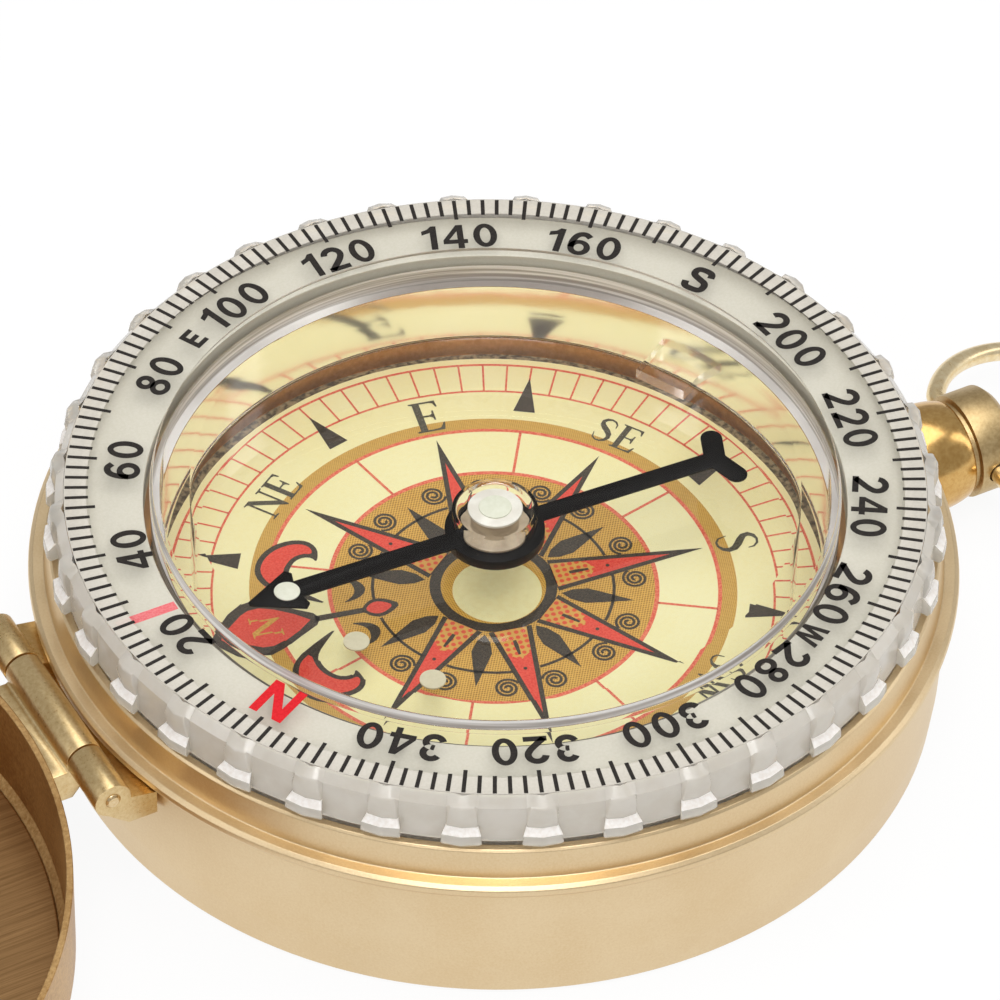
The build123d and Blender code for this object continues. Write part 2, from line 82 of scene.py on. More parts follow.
class Shade:
    """A socket in a finish's node tree. Arithmetic on it adds Math nodes."""

    def __init__(self, tree, socket=None):
        self.tree, self.socket = tree, socket

    def node(self, kind, settings=None, inputs=None, out=0):
        made = self.tree.nodes.new("ShaderNode" + kind)
        for key, value in (settings or {}).items():
            setattr(made, key, value)
        for key, value in (inputs or {}).items():
            if isinstance(value, Shade):
                self.tree.links.new(value.socket, made.inputs[key])
            else:
                made.inputs[key].default_value = value
        return Shade(self.tree, made.outputs[out])

    def maths(self, operation, *values):
        return self.node("Math", {"operation": operation}, dict(enumerate(values)))

    def __add__(self, other):
        return self.maths("ADD", self, other)

    def __sub__(self, other):
        return self.maths("SUBTRACT", self, other)

    def __rsub__(self, other):
        return self.maths("SUBTRACT", other, self)

    def __mul__(self, other):
        return self.maths("MULTIPLY", self, other)

    __radd__ = __add__
    __rmul__ = __mul__

    def between(self, low, high):
        return self.node("MapRange", {"interpolation_type": "SMOOTHSTEP"}, {0: self, 1: low, 2: high})

    def blend(self, first, second):
        return self.node("Mix", {"data_type": "RGBA"}, {0: self, 6: first, 7: second}, 2)

    def feed(self, shader, name):
        self.tree.links.new(self.socket, shader.inputs[name])

    def raise_grain(self, shader, strength, depth):
        """This value as relief of that depth in millimetres."""
        grain = self.node("Bump", {}, {"Strength": strength, "Distance": depth * MM, "Height": self})
        grain.feed(shader, "Normal")


def finish(name, plain):
    material = bpy.data.materials.new(name)
    material.use_nodes = True
    shader = material.node_tree.nodes["Principled BSDF"]
    for key, value in plain.items():
        shader.inputs[key].default_value = value
    return material, shader, Shade(material.node_tree)


def dress(piece, *materials):
    piece.data.materials.clear()
    for material in materials:
        piece.data.materials.append(material)
    return piece


def seen_directly(start):
    rays = [start.node("LightPath", out=ray) for ray in ("Is Camera Ray", "Is Glossy Ray", "Is Transmission Ray")]
    return rays[0].maths("MAXIMUM", rays[0], rays[1].maths("MAXIMUM", rays[1], rays[2]))


bpy.ops.mesh.primitive_plane_add(size=3, location=(0, 0, 0))
table = bpy.context.object
table.name = "table"
table_finish, table_shader, start = finish("white_table", {
    "Base Color": (0.9, 0.9, 0.9, 1), "Roughness": 1.0, "Specular IOR Level": 0.0,
})
glow = start.node("Emission", {}, {"Color": (1, 1, 1, 1), "Strength": 1.0})
plain_table = Shade(table_finish.node_tree, table_shader.outputs[0])
table_glow = 0.92
mixed = start.node("MixShader", {}, {0: seen_directly(start) * table_glow, 1: plain_table, 2: glow})
mixed.feed(table_finish.node_tree.nodes["Material Output"], "Surface")
dress(table, table_finish)

world = bpy.data.worlds.new("studio")
world.use_nodes = True
scene.world = world
sky = world.node_tree.nodes["Background"]
sky.inputs["Color"].default_value = (1.0, 0.98, 0.95, 1)
sky.inputs["Strength"].default_value = 0.45

softboxes = (
    ("overhead", (0.1, 0.05, 1.0), (0.8, 0.8), 4.2),
    ("above_camera", (-0.24, -0.44, 0.95), (0.45, 0.45), 4.2),
    ("left_strip", (-0.9, 0.1, 0.5), (0.25, 0.8), 1.2),
    ("right_strip", (0.9, -0.3, 0.5), (0.25, 0.8), 1.2),
)
for name, place, (width, height), power in softboxes:
    bpy.ops.object.light_add(type="AREA", location=place)
    lamp = bpy.context.object
    lamp.name = name
    lamp.rotation_euler = Vector(place).to_track_quat("Z", "Y").to_euler()
    lamp.data.shape = "RECTANGLE"
    lamp.data.size, lamp.data.size_y = width, height
    lamp.data.energy = power

# Case
# The cup of the compass, turned from brass: a flat foot, a slightly tapered wall, a bead, a ledge for the lid's rim
# and a thin lip round the bezel. It is blasted satin after turning.
def rounded(corners, fillet=0.06, arc_steps=4, support=0.02):
    """Profile points in millimetres with every corner off the axis rounded; a third number sets a corner's own radius."""
    points = []
    count = len(corners)
    for index, corner in enumerate(corners):
        here = Vector(corner[:2])
        size = corner[2] if len(corner) > 2 else fillet
        before = Vector(corners[index - 1][:2]) - here
        after = Vector(corners[(index + 1) % count][:2]) - here
        if size == 0 or here.x < 1e-6:
            points.append(here)
            continue
        half = before.angle(after) / 2
        reach = min(size / tan(half), 0.42 * before.length, 0.42 * after.length)
        before, after = before.normalized(), after.normalized()
        extra = min(support, 0.2 * reach)
        points.append(here + before * (reach + extra))
        for step in range(arc_steps + 1):
            t = step / arc_steps
            points.append(here + before * (reach * (1 - t) ** 2) + after * (reach * t**2))
        points.append(here + after * (reach + extra))
    return points


def alone(piece):
    if bpy.context.object and bpy.context.object.mode != "OBJECT":
        bpy.ops.object.mode_set(mode="OBJECT")
    bpy.ops.object.select_all(action="DESELECT")
    piece.select_set(True)
    bpy.context.view_layer.objects.active = piece
    return piece


def drawn(name, loops):
    """A curve of closed straight runs through points in millimetres."""
    curve = bpy.data.curves.new(name, "CURVE")
    curve.dimensions = "3D"
    for loop in loops:
        spline = curve.splines.new("POLY")
        spline.points.add(len(loop) - 1)
        for point, place in zip(spline.points, loop):
            point.co = (*[value * MM for value in place], 1)
        spline.use_cyclic_u = True
    piece = bpy.data.objects.new(name, curve)
    scene.collection.objects.link(piece)
    return alone(piece)


def turned(name, profile, centre_x=0.0, steps=180):
    """A closed profile of (radius, height) in millimetres, spun round a vertical axis."""
    piece = drawn(name, [[(centre_x + radius, 0, height) for radius, height in profile]])
    bpy.ops.object.convert(target="MESH")
    piece = bpy.context.object
    bpy.ops.object.mode_set(mode="EDIT")
    bpy.ops.mesh.select_all(action="SELECT")
    bpy.ops.mesh.spin(steps=steps, angle=2 * pi, center=(centre_x * MM, 0, 0), axis=(0, 0, 1))
    bpy.ops.mesh.select_all(action="SELECT")
    bpy.ops.mesh.remove_doubles(threshold=1e-7)
    bpy.ops.mesh.normals_make_consistent(inside=False)
    bpy.ops.object.mode_set(mode="OBJECT")
    bpy.ops.object.shade_smooth_by_angle(angle=radians(32))
    return piece


def srgb(red, green, blue):
    def linear(value):
        value /= 255
        return value / 12.92 if value <= 0.04045 else ((value + 0.055) / 1.055) ** 2.4

    return (linear(red), linear(green), linear(blue), 1.0)


def placed_faces(piece):
    """Each face of a turned piece with the radius and height of its centre, in millimetres."""
    for face in piece.data.polygons:
        x, y, z = face.center / MM
        yield face, hypot(x, y), z


def brass(name, colour, dark, roughness, grain, grain_size):
    """Brass with a blasted grain of that size in millimetres, a mottled tone and small bright pits."""
    material, shader, start = finish(name, {"Metallic": 1.0})
    at = start.node("TexCoord", out="Object")
    fine = start.node("TexNoise", {}, {
        "Vector": at, "Scale": 1 / (grain_size * MM), "Detail": 4.0, "Roughness": 0.65,
    })
    broad = start.node("TexNoise", {}, {"Vector": at, "Scale": 240.0, "Detail": 3.0})
    tone = (fine * 0.6 + broad * 0.4).between(0.3, 0.7)
    tone.blend(dark, colour).feed(shader, "Base Color")
    (roughness + (fine - 0.5) * 0.16 + (broad - 0.5) * 0.08).feed(shader, "Roughness")
    fine.raise_grain(shader, grain, 0.02)
    return material


case_finish = brass("satin_brass", srgb(230, 208, 170), srgb(220, 194, 152), 0.4, 0.25, 0.12)

case_profile = rounded([
    (0, 0), (22.1, 0, 0.12), (22.35, 0.25, 0.2), (22.55, 2.2, 0.4), (22.75, 7.36, 0.05),
    (23.02, 7.46, 0.12), (23.2, 7.72, 0.15), (23.16, 7.98, 0.12), (22.95, 8.15, 0.08), (22.4, 8.15, 0.08),
    (22.14, 9.58, 0.1), (22.02, 9.7, 0.06), (21.7, 9.7, 0.06), (21.58, 9.58, 0.06), (21.58, 7.9, 0.04),
    (20.8, 7.9, 0.05), (20.8, 7.0, 0.05), (21.4, 6.4, 0.05), (21.4, 1.7, 0.1), (20.4, 0.7, 0.1), (0, 0.7),
])
# Inside the cup the brass is painted darker, as painted shade in the hollow.
cup_inside_painted_shade = brass("brass_painted_shade", srgb(176, 132, 80), srgb(140, 98, 54), 0.45, 0.3, 0.2)
case = dress(turned("case_cup", case_profile), case_finish, cup_inside_painted_shade)
cavity_low, cavity_high, cavity_radius = 0.4, 8.2, 21.6
# The cup's inner walls and floor take the painted shade.
for face, radius, height in placed_faces(case):
    if cavity_low < height < cavity_high and radius < cavity_radius:
        face.material_index = 1
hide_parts("base_case")
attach(case, "case")

# Lid
# A shallow cup spun from brass sheet, hinged on the case and lying open with its mouth up.
# Its rim is blasted bright, its inner wall is granular, and a brushed disc lines its floor.
lid_x = -48.6


def softened(node, body, slot, edge, *materials, sharp=28):
    """A copy of a small solid with its seams merged and its edges eased by that many millimetres."""
    piece = bpy.data.objects.new(node + "_eased", nodes[node].data.copy())
    scene.collection.objects.link(piece)
    alone(piece)
    bpy.ops.object.mode_set(mode="EDIT")
    bpy.ops.mesh.select_all(action="SELECT")
    bpy.ops.mesh.remove_doubles(threshold=2e-6)
    bpy.ops.mesh.dissolve_limited(angle_limit=radians(0.6))
    bpy.ops.object.mode_set(mode="OBJECT")
    bpy.ops.object.modifier_add(type="BEVEL")
    bevel = piece.modifiers[-1]
    bevel.width, bevel.segments = edge * MM, 2
    bevel.limit_method, bevel.angle_limit = "ANGLE", radians(sharp)
    bevel.use_clamp_overlap = True
    bpy.ops.object.modifier_apply(modifier=bevel.name)
    bpy.ops.object.shade_smooth_by_angle(angle=radians(sharp + 4))
    dress(piece, *materials)
    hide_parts(node)
    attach(piece, body)
    return piece


lid_finish = brass("blasted_brass", srgb(212, 176, 122), srgb(168, 126, 76), 0.42, 0.9, 0.2)
lid_profile = rounded([
    (0, 0.1, 0), (8.0, 0.165, 0), (15.0, 0.535, 0), (21.35, 1.1, 1.2), (22.4, 1.54, 0.8), (22.85, 2.6, 0.4),
    (22.85, 7.5, 0.06), (22.5, 7.5, 0.06), (22.5, 2.45, 0.1), (21.9, 1.85, 0.02), (21.1, 1.85, 0.02),
    (15.0, 1.32, 0), (8.0, 0.98, 0), (0, 0.85, 0),
])
lid = dress(turned("lid_cup", lid_profile, lid_x), lid_finish)
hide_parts("lid_shell")
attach(lid, "lid")

liner_finish, shader, start = finish("brushed_brass", {"Metallic": 1.0})
at = start.node("TexCoord", out="Object")
brush_angle = radians(20)
stretched = start.node("Mapping", {}, {"Vector": at, "Rotation": (0, 0, brush_angle), "Scale": (180, 9000, 180)})
streaks = start.node("TexNoise", {}, {"Vector": stretched, "Scale": 1.0, "Detail": 5.0, "Roughness": 0.7})
streaks.between(0.25, 0.75).blend(srgb(134, 102, 66), srgb(168, 132, 90)).feed(shader, "Base Color")
(streaks * 0.2 + 0.32).feed(shader, "Roughness")
streaks.raise_grain(shader, 0.35, 0.01)
liner_profile = rounded([(0, 1.86), (21.88, 1.86, 0.03), (22.1, 2.1, 0.05), (0, 2.1)])
liner = dress(turned("lid_lining", liner_profile, lid_x), liner_finish)
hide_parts("lid_liner")
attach(liner, "lid")

# Hinge
# Two outer knuckles on a leaf soldered under the case bead, a middle knuckle on the lid's leaf, and a pin through them.
# All are brass, drawn through dies and left satin.
hinge_finish = brass("drawn_brass", srgb(228, 204, 156), srgb(204, 174, 122), 0.3, 0.3, 0.2)
softened("case_hinge_leaf", "case", "case_brass", 0.08, hinge_finish)
softened("lid_hinge_leaf", "lid", "case_brass", 0.08, hinge_finish)
pin_finish = brass("pin_brass", srgb(238, 218, 178), srgb(206, 172, 118), 0.28, 0.2, 0.15)
softened("hinge_pin", "case", "pin_brass", 0.03, pin_finish)

# Pendant and bow
# A polished bulb against the case wall, a satin neck beyond its groove, and a drawn wire bow that droops to the table.
# The bow's two ends spring into a hole across the neck.
bulb_finish = brass("polished_brass", srgb(222, 184, 118), srgb(200, 156, 90), 0.2, 0.08, 0.3)
softened("pendant_collar", "case", "case_brass", 0.08, bulb_finish)
neck_finish = brass("neck_brass", srgb(206, 182, 136), srgb(178, 150, 104), 0.4, 0.3, 0.2)
softened("pendant_neck", "case", "case_brass", 0.1, neck_finish)
bow_finish = brass("wire_brass", srgb(250, 234, 196), srgb(232, 206, 156), 0.3, 0.1, 0.3)
softened("bow", "bow", "bow_brass", 0.03, bow_finish)

# Dial card
# A luminous card, pale yellow, that lies on the case floor, printed with a compass rose in gold, red and dark brown.
# The inks are films of a few microns, one on another.
card_turn = radians(167.2 - 90)
card_top = 0.85
film = 0.006


def ring(radius, steps=180, centre=(0, 0)):
    angles = [2 * pi * k / steps for k in range(steps)]
    return [(centre[0] + radius * sin(angle), centre[1] + radius * cos(angle)) for angle in angles]


def band(inner, outer):
    return [ring(outer), ring(inner)]


def bar(half_width, inner, outer):
    return [(-half_width, inner), (half_width, inner), (half_width, outer), (-half_width, outer)]


def turn(loop, bearing):
    """A loop drawn at the top of the card, carried clockwise to a bearing in degrees."""
    c, s = cos(radians(bearing)), sin(radians(bearing))
    return [(x * c + y * s, y * c - x * s) for x, y in loop]


def stroke(path, widths):
    """The outline of a line along a path, of one width or one for each point."""
    if not hasattr(widths, "__len__"):
        widths = [widths] * len(path)
    sides = ([], [])
    for index, (x, y) in enumerate(path):
        ahead, behind = path[min(index + 1, len(path) - 1)], path[max(index - 1, 0)]
        along = Vector((ahead[0] - behind[0], ahead[1] - behind[1])).normalized()
        for side, sign in zip(sides, (1, -1)):
            side.append((x - sign * along.y * widths[index] / 2, y + sign * along.x * widths[index] / 2))
    return sides[0] + sides[1][::-1]


def printed(name, sheets, height, turn_by, body, material, thick=film):
    """Flat ink films: each sheet is a set of loops that are filled together, in millimetres, north up."""
    films = []
    for loops in sheets:
        piece = drawn(name, [[(x, y, 0) for x, y in loop] for loop in loops])
        piece.data.dimensions = "2D"
        piece.data.fill_mode = "BOTH"
        piece.data.extrude = thick / 2 * MM
        bpy.ops.object.convert(target="MESH")
        films.append(bpy.context.object)
    alone(films[0])
    for piece in films[1:]:
        piece.select_set(True)
    if len(films) > 1:
        bpy.ops.object.join()
    piece = bpy.context.object
    piece.name = name
    piece.rotation_euler = (0, 0, turn_by)
    piece.location = (0, 0, (height + thick / 2) * MM)
    bpy.ops.object.transform_apply(location=True, rotation=True, scale=True)
    dress(piece, material)
    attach(piece, body)
    return piece


def on_card(name, sheets, layer, material):
    """A film of the card's print, laid on as many films as its layer says."""
    printed(name, sheets, card_top + layer * film, card_turn, "case", material)


def mottled(name, plain, scale, dark, pale, detail=3.0, low=0.3, high=0.7):
    """A finish whose tone drifts between two colours. The drift is returned too, for its gloss or grain."""
    material, shader, start = finish(name, plain)
    at = start.node("TexCoord", out="Object")
    drift = start.node("TexNoise", {}, {"Vector": at, "Scale": scale, "Detail": detail})
    drift.between(low, high).blend(dark, pale).feed(shader, "Base Color")
    return material, shader, drift


def ink(name, colour, worn, coarse=9000.0, roughness=0.5):
    """Printing ink with the grain of the press in its tone."""
    material, shader, grain = mottled(name, {"Specular IOR Level": 0.3}, coarse, worn, colour, low=0.35, high=0.65)
    ((grain - 0.5) * 0.2 + roughness).feed(shader, "Roughness")
    return material


def halftone(name, ground, dot, pitch, size, angle):
    """Ink screened as rows of round dots over a paler ground; pitch in millimetres."""
    material, shader, start = finish(name, {"Specular IOR Level": 0.3, "Roughness": 0.5})
    at = start.node("TexCoord", out="Object")
    per_dot = 1 / (pitch * MM)
    turned_at = start.node("Mapping", {}, {"Vector": at, "Rotation": (0, 0, radians(angle)), "Scale": (per_dot,) * 3})
    parts = start.node("SeparateXYZ", {}, {0: turned_at})
    across, along = parts, Shade(parts.tree, parts.socket.node.outputs[1])
    cell = [value.maths("FRACT", value) - 0.5 for value in (across, along)]
    reach = cell[0].maths("SQRT", cell[0] * cell[0] + cell[1] * cell[1])
    speck = start.node("TexNoise", {}, {"Vector": at, "Scale": 3000.0, "Detail": 2.0})
    (reach + (speck - 0.5) * 0.2).between(size - 0.1, size + 0.1).blend(dot, ground).feed(shader, "Base Color")
    return material


card_finish, shader, start = finish("luminous_card", {"Roughness": 0.55, "Specular IOR Level": 0.35})
at = start.node("TexCoord", out="Object")
fibre = start.node("TexNoise", {}, {"Vector": at, "Scale": 5000.0, "Detail": 4.0})
cloud = start.node("TexNoise", {}, {"Vector": at, "Scale": 160.0, "Detail": 2.0})
card_tone = (fibre * 0.4 + cloud * 0.6).between(0.3, 0.7)
card_tone.blend(srgb(250, 243, 184), srgb(254, 250, 202)).feed(shader, "Base Color")
fibre.raise_grain(shader, 0.1, 0.01)
dress(nodes["dial_card"], card_finish)

red_ink = ink("red_ink", srgb(226, 66, 54), srgb(236, 92, 74))
rule_ink = ink("red_rule_ink", srgb(226, 92, 74), srgb(240, 140, 108))
dark_ink = ink("dark_ink", srgb(48, 42, 34), srgb(72, 62, 50))
gold_screen = halftone("gold_screen", srgb(226, 182, 92), srgb(168, 118, 40), 0.13, 0.34, 37)
gold_band_screen = halftone("gold_band_screen", srgb(220, 180, 96), srgb(186, 140, 60), 0.1, 0.34, 20)

# A dark granular ring on the case floor between the card's edge and the tube: painted shade of the gap there.
card_gap_painted_shade = ink("card_gap_painted_shade", srgb(70, 62, 48), srgb(150, 136, 104), 3000.0, 0.6)
gap_shade_height = 0.704
printed("card_edge_painted_shade", [band(16.78, 17.36)], gap_shade_height, card_turn, "case", card_gap_painted_shade)
on_card("rose_gold_disc", [[ring(8.15)]], 0, gold_screen)
on_card("rose_gold_band", [band(11.42, 12.22)], 0, gold_band_screen)

degree_lines = 80
rules = [band(14.22, 14.34), band(16.2, 16.34), band(11.26, 11.46), band(8.1, 8.32)]
rules.append([turn(bar(0.05, 14.3, 16.24), 360 * k / degree_lines) for k in range(degree_lines)])
rules.append([turn(bar(0.07, 8.28, 11.3), 45 * k + 22.5) for k in range(8)])
on_card("rose_red_rules", rules, 1, rule_ink)

ray = [(-1.12, 3.1), (0, 10.95), (1.12, 3.1)]
ray_heart = [(-0.84, 3.15), (0, 9.2), (0.84, 3.15)]
leaf = [(0, 3.45), (-0.34, 3.95), (-0.52, 4.7), (-0.34, 5.6), (0, 7.1), (0.34, 5.6), (0.52, 4.7), (0.34, 3.95)]
pointer = [(-0.56, 12.85), (0, 15.4), (0.56, 12.85)]
bearings = [45 * k for k in range(1, 8)]


def spiral(side):
    turns, inner, outer = 2.4, 0.1, 0.64
    spots = 72
    path = []
    for k in range(spots):
        t = k / (spots - 1)
        angle = side * (0.3 + turns * t) * 2 * pi
        radius = inner + (outer - inner) * t
        path.append((side * 1.22 + radius * sin(angle), 7.05 + radius * cos(angle)))
    return stroke(path, 0.14)


scrolls = [turn(spiral(side), 45 * k) for k in range(8) for side in (1, -1) if k]
tie_radius = 6.05
ties = []
for k in range(8):
    arc = [radians(angle) for angle in range(45 * k + 6, 45 * k + 40, 2)]
    ties.append(stroke([(tie_radius * sin(angle), tie_radius * cos(angle)) for angle in arc], 0.16))
petal = [
    (0.85, 8.3), (1.55, 9.5), (2.2, 10.45), (2.8, 11.05), (3.35, 11.3), (3.95, 11.35), (4.6, 11.1), (5.2, 10.6),
    (5.6, 9.9), (5.72, 9.1), (5.58, 8.45), (5.25, 8.05), (4.75, 7.88), (4.25, 7.98), (3.9, 8.15), (4.25, 8.3),
    (4.38, 8.7), (4.25, 9.15), (3.85, 9.52), (3.35, 9.75), (2.85, 9.8), (2.3, 9.6), (1.65, 9.05),
]
petal_heart = [
    (2.35, 10.1), (2.8, 10.7), (3.35, 10.98), (3.95, 11.05), (4.45, 10.85), (4.95, 10.42), (5.3, 9.8), (5.42, 9.1),
    (5.32, 8.6), (5.1, 8.3), (4.78, 8.16), (4.5, 8.24), (4.64, 8.7), (4.5, 9.25), (4.02, 9.74), (3.45, 10.02), (2.9, 10.1),
]
shield_half = [(0, 8.95), (0.42, 9.2), (1.05, 10.25), (1.7, 11.25), (2.0, 12.0), (1.85, 12.7), (1.3, 13.5), (0, 14.6)]
shield_heart_half = [
    (0, 9.45), (0.6, 10.15), (1.15, 11.05), (1.42, 11.75), (1.38, 12.3), (1.05, 12.9), (0.5, 13.5), (0, 14.0),
]
crescent = [
    (2.4, 7.2), (2.28, 6.7), (1.88, 6.34), (1.45, 6.22), (1.05, 6.46), (0.8, 7.0), (0.74, 7.6), (0.98, 7.12),
    (1.35, 6.8), (1.85, 6.8), (2.15, 6.95),
]
drop = [(0, 6.85), (-0.5, 6.45), (-0.68, 5.95), (-0.45, 5.35), (0, 4.8), (0.45, 5.35), (0.68, 5.95), (0.5, 6.45)]
drop_heart = [(0, 6.62), (-0.32, 6.35), (-0.45, 5.98), (-0.3, 5.55), (0, 5.2), (0.3, 5.55), (0.45, 5.98), (0.32, 6.35)]


def mirrored(loop):
    return [(-x, y) for x, y in loop[::-1]]


def trimmed(runs):
    """Straight runs cut back by a quarter at both ends."""
    points = []
    for (ax, ay), (bx, by) in runs:
        points.append((0.75 * ax + 0.25 * bx, 0.75 * ay + 0.25 * by))
        points.append((0.25 * ax + 0.75 * bx, 0.25 * ay + 0.75 * by))
    return points


def eased(loop):
    """A loop with its corners cut, as drawn with a pen."""
    return trimmed(zip(loop, loop[1:] + loop[:1]))


def both_sides(loop):
    return [[loop], [mirrored(loop)]]


shield, shield_heart = (half + mirrored(half)[1:-1] for half in (shield_half, shield_heart_half))
dark_sheets = [[turn(shape, 45 * k + 22.5) for k in range(8)] for shape in (leaf, pointer)]
dark_sheets += [scrolls, ties]
dark_sheets += [[turn(ray, bearing)] for bearing in bearings]
dark_sheets.append(band(2.62, 3.2))
dark_sheets += both_sides(eased(petal)) + both_sides(eased(crescent)) + [[shield], [eased(drop)]]
dark_sheets.append([[(-0.17, 6.7), (0.17, 6.7), (0.19, 9.2), (-0.19, 9.2)]])
on_card("rose_dark_ink", dark_sheets, 2, dark_ink)

red_sheets = [[turn(ray_heart, bearing) for bearing in bearings]]
red_sheets += both_sides(eased(petal_heart)) + [[shield_heart], [eased(drop_heart)]]
on_card("rose_red_ink", red_sheets, 3, red_ink)

ray_screen = halftone("ray_screen", srgb(222, 172, 86), srgb(226, 84, 56), 0.36, 0.34, 12)
ray_foot = [(-0.84, 3.15), (-0.6, 4.85), (0, 5.3), (0.6, 4.85), (0.84, 3.15)]
on_card("rose_ray_feet", [[turn(ray_foot, bearing) for bearing in bearings]], 4, ray_screen)
ray_mark = [(-0.08, 3.95), (-0.11, 4.3), (-0.06, 4.95), (0.07, 4.95), (0.11, 4.3), (0.09, 3.95)]
ray_dot = ring(0.1, 12, (0, 5.95))
ray_marks = [turn(mark, bearing) for bearing in bearings for mark in (ray_mark, ray_dot)]
on_card("rose_ray_marks", [ray_marks], 5, dark_ink)

boss_gold = halftone("boss_gold", srgb(226, 182, 84), srgb(186, 132, 44), 0.12, 0.34, 5)
on_card("rose_boss_gold", [[ring(2.64)]], 3, boss_gold)
boss_pale = ink("boss_pale", srgb(252, 246, 192), srgb(248, 240, 182), 2500.0)
on_card("rose_boss_pale", [[ring(2.24, 120, (-0.36, -0.1))]], 4, boss_pale)

letter_e = [
    (0.02, 0), (0.74, 0), (0.80, 0.24), (0.76, 0.24), (0.66, 0.08), (0.55, 0.05), (0.30, 0.05), (0.30, 0.49),
    (0.48, 0.49), (0.54, 0.45), (0.56, 0.36), (0.60, 0.36), (0.60, 0.68), (0.56, 0.68), (0.54, 0.58), (0.48, 0.54),
    (0.30, 0.54), (0.30, 0.95), (0.56, 0.95), (0.65, 0.92), (0.70, 0.79), (0.74, 0.79), (0.72, 1.0), (0.02, 1.0),
    (0.02, 0.965), (0.11, 0.94), (0.11, 0.06), (0.02, 0.035),
]
letter_n = [
    (0.0, 1.0), (0.29, 1.0), (0.80, 0.30), (0.80, 0.94), (0.69, 0.965), (0.69, 1.0), (0.98, 1.0), (0.98, 0.965),
    (0.87, 0.94), (0.87, -0.02), (0.82, -0.02), (0.20, 0.83), (0.20, 0.06), (0.32, 0.035), (0.32, 0), (0.02, 0),
    (0.02, 0.035), (0.13, 0.06), (0.13, 0.92), (0.08, 0.955), (0, 0.965),
]
letter_w = [
    (0.0, 1.0), (0.29, 1.0), (0.29, 0.965), (0.21, 0.94), (0.41, 0.29), (0.56, 0.76), (0.51, 0.94), (0.43, 0.965),
    (0.43, 1.0), (0.74, 1.0), (0.74, 0.965), (0.66, 0.94), (0.86, 0.29), (1.06, 0.94), (0.97, 0.965), (0.97, 1.0),
    (1.22, 1.0), (1.22, 0.965), (1.13, 0.94), (0.83, -0.02), (0.79, -0.02), (0.60, 0.60), (0.41, -0.02), (0.37, -0.02),
    (0.06, 0.94), (0, 0.965),
]
letter_s = stroke(
    [(0.64, 0.70), (0.62, 0.84), (0.52, 0.94), (0.38, 0.97), (0.24, 0.92), (0.16, 0.81), (0.19, 0.69), (0.31, 0.59),
     (0.45, 0.50), (0.57, 0.39), (0.61, 0.25), (0.55, 0.12), (0.42, 0.035), (0.28, 0.03), (0.16, 0.10), (0.10, 0.30)],
    [0.02, 0.05, 0.06, 0.06, 0.10, 0.13, 0.16, 0.18, 0.18, 0.17, 0.14, 0.10, 0.06, 0.055, 0.05, 0.02],
)
glyphs = {"N": (letter_n, 0.98), "E": (letter_e, 0.80), "S": (letter_s, 0.74), "W": (letter_w, 1.22)}


def word(letters, size, radius, bearing, stretch=0.9):
    """Serif letters whose feet stand on a radius and whose tops point outwards."""
    space = 0.06
    width = sum(glyphs[letter][1] for letter in letters) * stretch * size + space * (len(letters) - 1)
    across, loops = -width / 2, []
    for letter in letters:
        loop, wide = glyphs[letter]
        loops.append(turn([(across + x * stretch * size, radius + y * size) for x, y in loop], bearing))
        across += wide * stretch * size + space
    return loops


letter_sheets = []
for index, letters in enumerate(("N", "NE", "E", "SE", "S", "SW", "W", "NW")):
    if index:
        size, foot = (2.2, 11.65) if len(letters) == 1 else (1.8, 11.9)
        letter_sheets.append(word(letters, size, foot, 45 * index))
letter_ink = ink("letter_ink", srgb(66, 62, 50), srgb(96, 92, 76))
on_card("rose_letters", letter_sheets, 3, letter_ink)
north_gold = ink("north_gold", srgb(226, 178, 84), srgb(206, 150, 66))
on_card("rose_north_letter", [word("N", 1.65, 10.95, 0)], 4, north_gold)

# Index ring
# A pale luminous ring on a tube in the case, bronzed below its top, with one red index line across it.
# It stays still while the clear bezel turns over it.
index_finish, shader, powder = mottled(
    "index_plastic", {"Roughness": 0.6}, 7000.0, srgb(212, 208, 194), srgb(217, 213, 201), detail=4.0,
)
powder.raise_grain(shader, 0.04, 0.01)
bronze_finish = brass("bronzed_tube", srgb(206, 160, 104), srgb(176, 128, 76), 0.5, 0.3, 0.3)
index_top, bronze_top = 11.4, 8.5
index_profile = rounded([
    (17.4, 0.7, 0), (17.4, bronze_top, 0), (17.4, index_top, 0.08), (20.7, index_top, 0.05), (20.7, 8.2, 0.05), (20.35, 8.2, 0.05),
    (20.35, 10.9, 0.05), (18.0, 10.9, 0.05), (18.0, 0.7, 0),
])
index_ring = dress(turned("index_ring_moulding", index_profile), index_finish, bronze_finish)
tube_reach = 18.1
for face, radius, height in placed_faces(index_ring):
    if height < bronze_top and radius < tube_reach:
        face.material_index = 1
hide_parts("index_ring")
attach(index_ring, "case")
index_red = ink("index_red", srgb(236, 104, 112), srgb(240, 132, 136))
index_turn = radians(179.3 - 90)
printed("index_line", [[bar(0.28, 17.5, 20.68)]], index_top, index_turn, "case", index_red)

# Snap ring
# A split ring of spring steel in the groove between case and bezel, which keeps the bezel in and lets it turn.
steel_finish, shader, draw_marks = mottled(
    "spring_steel", {"Metallic": 1.0}, 3000.0, srgb(150, 150, 150), srgb(190, 190, 188),
)
(draw_marks * 0.2 + 0.22).feed(shader, "Roughness")
dress(nodes["bezel_snap_ring"], steel_finish)

